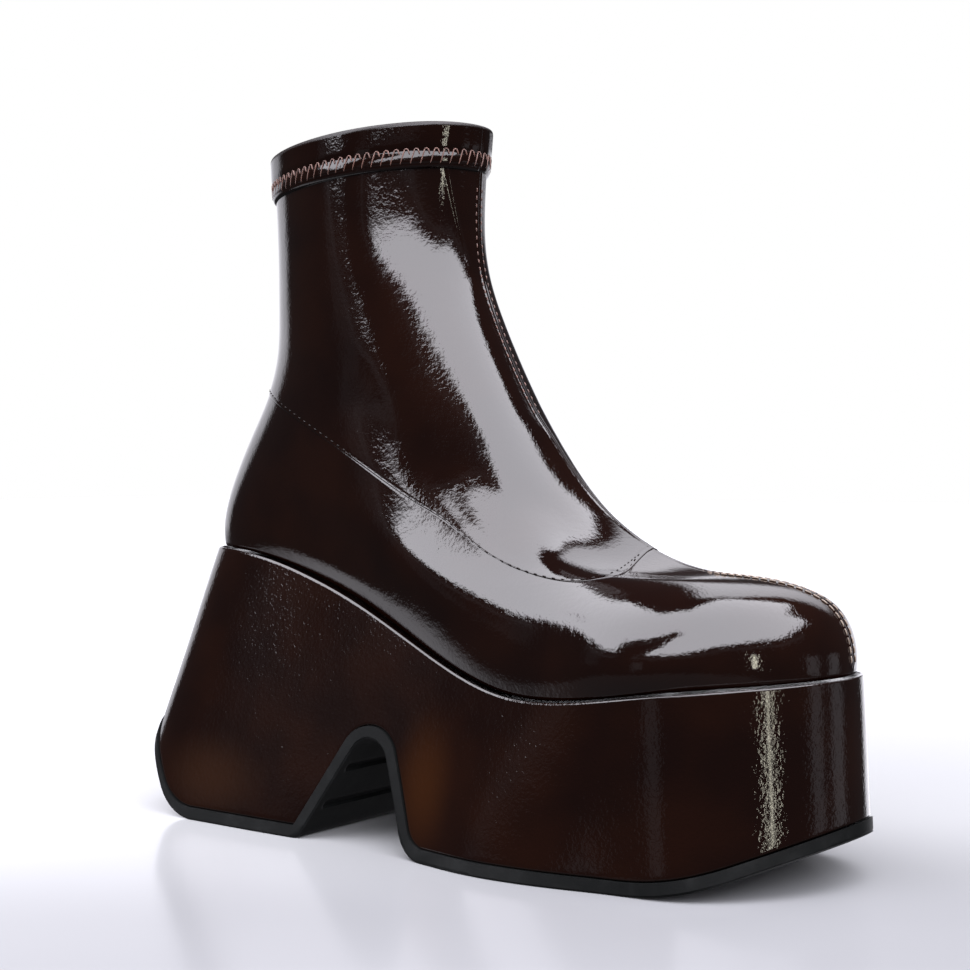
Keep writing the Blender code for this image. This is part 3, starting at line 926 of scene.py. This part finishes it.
def even_angles(count):
    """Angles that cut the block's lower edge into equal lengths, both sides alike."""
    side = np.linspace(0, np.pi, 3000)
    top, bottom = sole_ends(both_sides(side), 0.0)
    length = run_along(ruled(top, bottom, meet(top, bottom, over_rubber))[:len(side)])
    print("block edge is", round(length[-1]), "mm along one side")
    return both_sides(np.interp(np.linspace(0, length[-1], count + 1), length, side))


sole_angles = even_angles(460)


def strips(first, count):
    """Quads straight across a loop, joining each side's points in pairs, with triangle ends."""
    k = np.arange(1, count // 2 - 1)
    quads = np.stack([k, k + 1, count - k - 1, count - k], axis=1) + first
    ends = np.array([(0, 1, count - 1), (count // 2 - 1, count // 2, count // 2 + 1)]) + first
    return quads, ends


# %% Block
FOLD = 0.8
RIM = [
    # millimetres inwards from the top outline, and down from the seat
    (0.02, 0.34), (0.09, 0.20), (0.20, 0.08), (0.36, 0.02), (0.55, 0.0),
    (0.80, 0.08), (1.2, 0.42), (1.9, 1.0), (3.2, 1.35), (6.0, 1.5),
]


def wall_wave(points):
    """Very slow unevenness of the wrap: three waves of 50 to 200 mm, 0.1 mm high or less."""
    x, y, z = np.moveaxis(points, -1, 0)
    return (0.10 * np.sin(x / 11 + z / 23 + 1.0) + 0.08 * np.sin(z / 9 - x / 31)
            + 0.05 * np.sin(y / 8 + z / 14))


def block():
    """Grid of the wall with its folded lower edge and its rim, and the faces that close it."""
    top, bottom = sole_ends(sole_angles, 0.0)
    edge = meet(top, bottom, over_rubber)
    tall = np.linalg.norm(top - bottom, axis=1)
    t = np.concatenate([np.linspace(0, 1, 40)[:-1], [0.994, 1.0]])[:, None]
    wall = ruled(top, bottom, edge + FOLD / tall + (1 - 0.5 / tall - edge - FOLD / tall) * t)
    around = np.roll(wall, -1, axis=1) - np.roll(wall, 1, axis=1)
    normal = unit(np.cross(top - bottom, around))
    wall += normal * (wall_wave(wall) * np.sin(np.pi * t) ** 0.5)[..., None]
    low = [ruled(top, bottom, edge + FOLD * (1 - np.sin(bend)) / tall)
           - normal[0] * FOLD * (1 - np.cos(bend)) for bend in np.linspace(np.pi / 2, 0, 5)[:-1]]
    rim = []
    for inwards, drop in RIM:
        ring = inset(top[:, :2], inwards)
        rim.append(np.column_stack([ring, seat_height(ring[:, 0]) - drop]))
    grid = np.concatenate([low, wall, rim])
    rows, count = grid.shape[:2]
    under, under_ends = strips(0, count)
    over, over_ends = strips((rows - 1) * count, count)
    return grid, [grid_faces(rows, count, around=True), under, over[:, ::-1],
                  under_ends, over_ends[:, ::-1]]


grid, faces = block()
platform = piece("platform_wrap", grid, faces, wrap)

# %% [markdown]
# ## The rubber sole
#
# A thin unit glued under the block, standing a little proud of the wrap. Each cross section is a
# closed ring, and the rings shrink to nothing at the toe and the heel. The tread's grooves sink
# along the side profile's own normal, so they also follow the notch and the toe spring.

# %% Tread
PITCH = 16.5
SIDE = (0.0, 0.12, 0.3, 0.5, 0.7, 0.84)
LID = (0.96, 0.8, 0.4, 0.0, -0.4, -0.8, -0.96)


def tread(along, across, half):
    """Depth of the tread: cross grooves with rounded floors, stopping short of a plain rim."""
    from_groove = np.abs((along + PITCH / 2) % PITCH - PITCH / 2)
    inside = smooth(half - 3.5, half - 5.0, np.abs(across))
    return 1.1 * smooth(1.9, 1.1, from_groove) * inside


def profile_inwards(x):
    """How far along the side profile each x lies, and the profile's normal into the sole."""
    run = run_along(under_rubber)
    along = np.interp(x, under_rubber[:, 0], run)
    ends = along[:, None] + np.array([-0.4, 0.4])
    dx, dz = (np.diff(np.interp(ends, run, column))[:, 0] for column in under_rubber.T)
    return along, unit(np.stack([-dz, 0 * dx, dx], axis=1))


def outsole_grid(count):
    """Rows from the toe to the heel: down one side, across the tread, up the other side and back
    over the top, so that every column is one ring."""
    top, bottom = sole_ends(sole_angles, 0.8)
    high = meet(top, bottom, over_rubber) - 0.25 / np.linalg.norm(top - bottom, axis=1)
    upper, lower = ruled(top, bottom, high), ruled(top, bottom, meet(top, bottom, under_rubber))
    left, right = np.arange(count + 1), -np.arange(count + 1)
    along, inwards = profile_inwards(lower[left, 0])
    half = np.abs(lower[right, 1] - lower[left, 1]) / 2
    rows = [upper[left] + (lower[left] - upper[left]) * t for t in SIDE]
    spread = np.linspace(-1, 1, 118)
    for c in np.sign(spread) * (1 - (1 - np.abs(spread)) ** 1.15):
        rim = np.abs(c) > 0.999
        point = lower[left] + (lower[right] - lower[left]) * (1 + c) / 2
        point[:, 1] -= np.sign(c) * 0.25 * rim
        rows.append(point + inwards * (tread(along, half * c, half) + 0.5 * rim)[:, None])
    rows += [upper[right] + (lower[right] - upper[right]) * t for t in SIDE[::-1]]
    rows += [upper[left] + (upper[right] - upper[left]) * (1 + c) / 2 for c in LID]
    return np.array(rows)


grid = outsole_grid(460)
outsole = piece("rubber_sole", grid, [grid_faces(*grid.shape[:2], along=True)], rubber,
                merge=True)

# %% [markdown]
# ## The footbed
#
# A thin foam pad under the lining cloth: fuller in the middle, rolled at its edge, and resting on
# the seat. Each cross section is a flattened round, and the sections shrink at both ends.

# %% Footbed
def power(value, exponent):
    """A power that keeps the value's sign."""
    return np.sign(value) * np.abs(value) ** exponent


def footbed_grid(columns=200, ring=56):
    """Cross sections: across = half * cos^0.55, up = thickness * (1 + sin^0.7) with the signs
    kept, and the upper side crowned by 0.6 mm more in the middle."""
    side = (1 - np.cos(np.linspace(0, np.pi, columns))) / 2 * np.pi
    edge = inset(outline(TOP, both_sides(side)), 6.4)
    left, right = edge[:columns], edge[-np.arange(columns)]
    middle, half = (left + right) / 2, np.abs(right[:, 1] - left[:, 1])[:, None] / 2
    turn = np.arange(ring) * 2 * np.pi / ring
    thick = 1.5 * np.minimum(1, np.sqrt(half / 6))
    across = half * power(np.cos(turn), 0.55)
    crown = 0.6 * np.maximum(np.sin(turn), 0) * (1 - (across / np.maximum(half, 0.1)) ** 2)
    up = thick * (1 + power(np.sin(turn), 0.7)) + crown
    x = np.broadcast_to(middle[:, :1], across.shape)
    return np.stack([x, middle[:, 1:] + across, seat_height(x) + 0.25 + up], axis=-1)


grid = footbed_grid()
footbed = piece("footbed_pad", grid, [grid_faces(*grid.shape[:2], around=True)[:, ::-1]],
                footbed_cloth, merge=True)

# %% [markdown]
# ## Stitches
#
# A stitch is a short fat thread between two needle holes. One small capsule is worked out, then
# placed along a curve on the skin many times over, as one array of all its copies.

# %% Stitch helper
def capsule():
    """Thread from -0.5 to 0.5 along the first axis: six rings of six, and the height of its arch,
    1 - (2 along)^2."""
    along = np.array([-0.5, -0.42, -0.2, 0.2, 0.42, 0.5])
    girth = np.array([0.35, 0.85, 1.0, 1.0, 0.85, 0.35])
    turn = np.arange(6) * np.pi / 3
    rows = np.stack([np.repeat(along, 6), np.outer(girth, np.cos(turn)).ravel(),
                     np.outer(girth, np.sin(turn)).ravel()], axis=1)
    return rows, np.repeat(1 - (2 * along) ** 2, 6)


def stitches(name, start, end, up, girth, arch, look):
    """One mesh of many stitches, each from a start to an end, arched along its own up."""
    thread, hump = capsule()
    ahead = unit(end - start)
    up = unit(up - (up * ahead).sum(1, keepdims=True) * ahead)
    points = (((start + end) / 2)[:, None] + thread[:, :1] * (end - start)[:, None]
              + girth * thread[:, 1:2] * np.cross(up, ahead)[:, None]
              + (girth * thread[:, 2] + arch * hump)[:, None] * up[:, None])
    offset = (np.arange(len(start)) * 36)[:, None, None]
    ends = np.array([(0, 1, 2, 3, 4, 5), (35, 34, 33, 32, 31, 30)])
    faces = [(grid_faces(6, 6, around=True)[:, ::-1] + offset).reshape(-1, 4),
             (ends + offset).reshape(-1, 6)]
    print(name, "has", len(start), "stitches")
    return piece(name, points, faces, look, sharp=80)


def pick(values, knots, where):
    """Rows of points read off between known places."""
    return np.stack([np.interp(where, knots, column) for column in values.T], axis=1)


def along_curve(angle, height, lift, pitch):
    """Even places along a curve on the skin: points and normals, about a pitch apart."""
    normal = skin_normal(angle, height)
    point = skin(angle, height) + normal * lift
    run = run_along(point)
    count = int(run[-1] / pitch)
    place = np.arange(count + 1) * run[-1] / count
    return pick(point, run, place), pick(normal, run, place)


def row_of_stitches(name, curves, lift, pitch, share, girth, look):
    """A row of stitches on each (angle, height) curve, each filling a share of the pitch."""
    starts, ends, ups = [], [], []
    for angle, height in curves:
        point, normal = along_curve(angle, height, lift, pitch)
        a, b = point[:-1], point[1:]
        gap = (b - a) * (1 - share) / 2
        starts.append(a + gap), ends.append(b - gap), ups.append(normal[:-1] + normal[1:])
    stitches(name, np.vstack(starts), np.vstack(ends), np.vstack(ups), girth, 0.12, look)


# %% Seam stitches
def beside_ridge(low, high, count=500):
    """The two curves at the feet of the front seam's ridge, from a low to a high height."""
    height = np.linspace(low, high, count)
    reach = np.linalg.norm(skin(0.01, height) - skin(-0.01, height), axis=-1) / 0.02
    return [(aside / reach, height) for aside in (0.1, -3.3)]


full_turn = np.linspace(0, 2 * np.pi, 1600)
lap = seam_height(full_turn)
row_of_stitches("lap_stitches", [(full_turn, lap + 1.1 / per_height(full_turn, lap))],
                0.22, 3.5, 0.36, 0.22, dark_thread)
row_of_stitches("toe_stitches", beside_ridge(0.04, 0.475), 0.30, 2.9, 0.80, 0.24, pale_thread)
row_of_stitches("front_stitches", beside_ridge(0.50, 0.955), 0.20, 2.9, 0.52, 0.20, brown_thread)

# %% Zigzag
LEVELS = [
    # millimetres below the collar, and out from the skin
    (15.1, 1.20), (11.9, 1.30), (9.9, 1.16),
]
KNOTS = [
    # level and share of a 3.6 mm repeat: a short leg up, a bar, and a long slanting leg down
    (1, 0.02), (2, 0.22), (2, 0.52), (0, 0.92),
]


def zigzag():
    """Arches round the hem, each of three threads between four knots."""
    angle = np.linspace(0, 2 * np.pi, 4000)
    levels = [along_curve(angle, level_at_drop(angle, drop), lift, 0.5) for drop, lift in LEVELS]
    count = round(0.5 * len(levels[0][0]) / 3.6)
    path = []
    for level, phase in KNOTS:
        share = np.linspace(0, 1, len(levels[level][0]))
        place = (np.arange(count) + phase) / count
        path.append([pick(values, share, place) for values in levels[level]])
    start, up = (np.vstack([knot[k] for knot in path[:3]]) for k in (0, 1))
    end = np.vstack([knot[0] for knot in path[1:]])
    stitches("hem_zigzag", start, end, up, 0.27, 0.15, brown_thread)


zigzag()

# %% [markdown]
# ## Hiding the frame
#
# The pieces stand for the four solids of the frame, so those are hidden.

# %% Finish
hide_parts("upper")
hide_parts("platform")
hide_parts("outsole")
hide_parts("insole")
